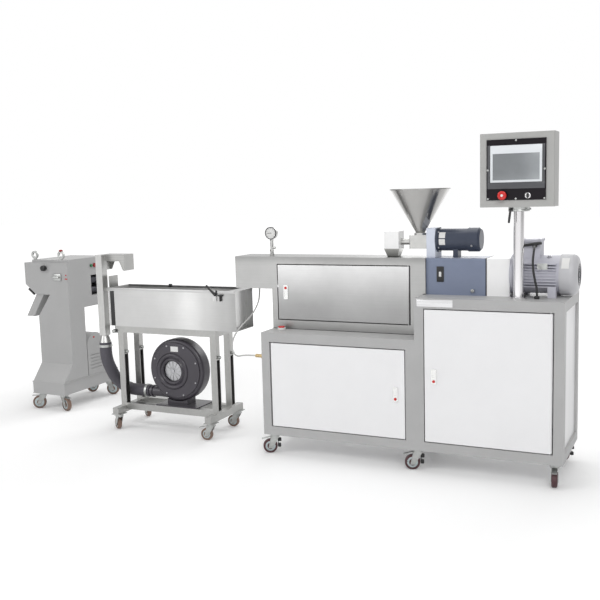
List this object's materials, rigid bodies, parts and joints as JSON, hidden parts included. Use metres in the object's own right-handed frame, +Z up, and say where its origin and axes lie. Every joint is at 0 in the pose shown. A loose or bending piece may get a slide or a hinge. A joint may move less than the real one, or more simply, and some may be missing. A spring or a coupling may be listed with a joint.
{
  "type": "laboratory pelletizing line",
  "caption": "Laboratory pelletizing line: small extruder with hopper feeder and control panel, water bath with air knife and blower, and strand pelletizer, all on castors.",
  "frame": {"origin": "on the floor, midway along the line and midway from its front to its back", "axes": "+X along the line from the pelletizer to the extruder's motor, -Y out of the fronts, +Z up"},
  "size_m": [3.483, 0.9153, 1.5799],
  "materials": {
    "grey_paint": "satin grey paint",
    "white_paint": "white satin paint",
    "stainless": "brushed stainless sheet",
    "bright_steel": "polished steel",
    "zinc": "zinc plated",
    "gearbox_blue": "blue-grey paint",
    "motor_lilac": "lilac-grey paint",
    "navy_paint": "dark navy paint",
    "pale_plate": "pale paint",
    "black_plastic": "black",
    "red_plastic": "red",
    "maroon_wheel": "maroon polyurethane",
    "grey_wheel": "grey rubber",
    "blower_black": "black paint",
    "bright_aluminium": "cast aluminium",
    "hose_grey": "dark grey hose",
    "cable_grey": "light grey cable jacket",
    "machine_grey": "mid grey paint"
  },
  "bodies": {
    "line": {"base_posts": "grey_paint", "base_rails": "grey_paint", "base_top_plates": "grey_paint", "base_panels": "grey_paint", "door_hinge_pins": "zinc", "barrel_guard": "stainless", "barrel": "zinc", "die_head": "zinc", "pressure_gauge": "bright_steel", "gearbox": "gearbox_blue", "coupling_guard": "white_paint", "main_motor": "motor_lilac", "motor_cowl": "motor_lilac", "feed_funnel": "stainless", "drop_box": "white_paint", "feeder_body": "stainless", "hopper": "stainless", "feeder_plate": "pale_plate", "feeder_motor": "navy_paint", "panel_post": "bright_steel", "castor_forks": "zinc", "base_castor_wheels": "maroon_wheel", "grey_castor_wheels": "grey_wheel", "trough": "stainless", "bath_legs": "stainless", "bath_rails": "stainless", "bath_feet": "stainless", "air_knife_duct": "stainless", "air_knife_hood": "stainless", "blower_casing": "blower_black", "blower_face": "blower_black", "blower_motor": "blower_black", "blower_base": "blower_black", "air_hose": "hose_grey", "hose_clamps": "zinc", "strand_guide": "stainless", "pelletizer_base": "machine_grey", "pelletizer_column": "machine_grey", "pelletizer_hood": "machine_grey", "pelletizer_head": "machine_grey", "pelletizer_cover": "machine_grey", "feed_rolls": "zinc", "pellet_chute": "machine_grey", "drive_housing": "machine_grey", "lifting_eyes": "zinc", "pelletizer_fittings": "black_plastic", "cable_glands": "bright_steel", "sensor_cable": "cable_grey", "motor_cable": "black_plastic"},
    "low_door": {"low_door": "white_paint", "low_door_lock": "zinc"},
    "tall_door": {"tall_door": "white_paint", "tall_door_lock": "zinc"},
    "guard_door": {"guard_door": "stainless", "guard_door_lock": "zinc"},
    "panel": {"control_panel": "grey_paint", "panel_bezel": "black_plastic", "panel_controls": "red_plastic"},
    "impeller": {"blower_impeller": "bright_aluminium"}
  },
  "joints": [
    {"name": "low_door_hinge", "type": "hinge", "parent": "line", "child": "low_door", "pos_m": [0.27252, -0.4195, 0.37], "axis": [0, 0, -1], "range_deg": [0, 90]},
    {"name": "tall_door_hinge", "type": "hinge", "parent": "line", "child": "tall_door", "pos_m": [1.65252, -0.4195, 0.47], "axis": [0, 0, 1], "range_deg": [0, 90]},
    {"name": "guard_door_hinge", "type": "hinge", "parent": "line", "child": "guard_door", "pos_m": [0.95452, -0.2815, 0.83], "axis": [0, 0, 1], "range_deg": [0, 90]},
    {"name": "panel_swivel", "type": "hinge", "parent": "line", "child": "panel", "pos_m": [1.49445, -0.3335, 1.25], "axis": [0, 0, 1], "range_deg": [-90, 90]},
    {"name": "impeller_spin", "type": "hinge", "parent": "line", "child": "impeller", "pos_m": [-0.47548, -0.1795, 0.349], "axis": [0, 1, 0], "continuous": true}
  ]
}
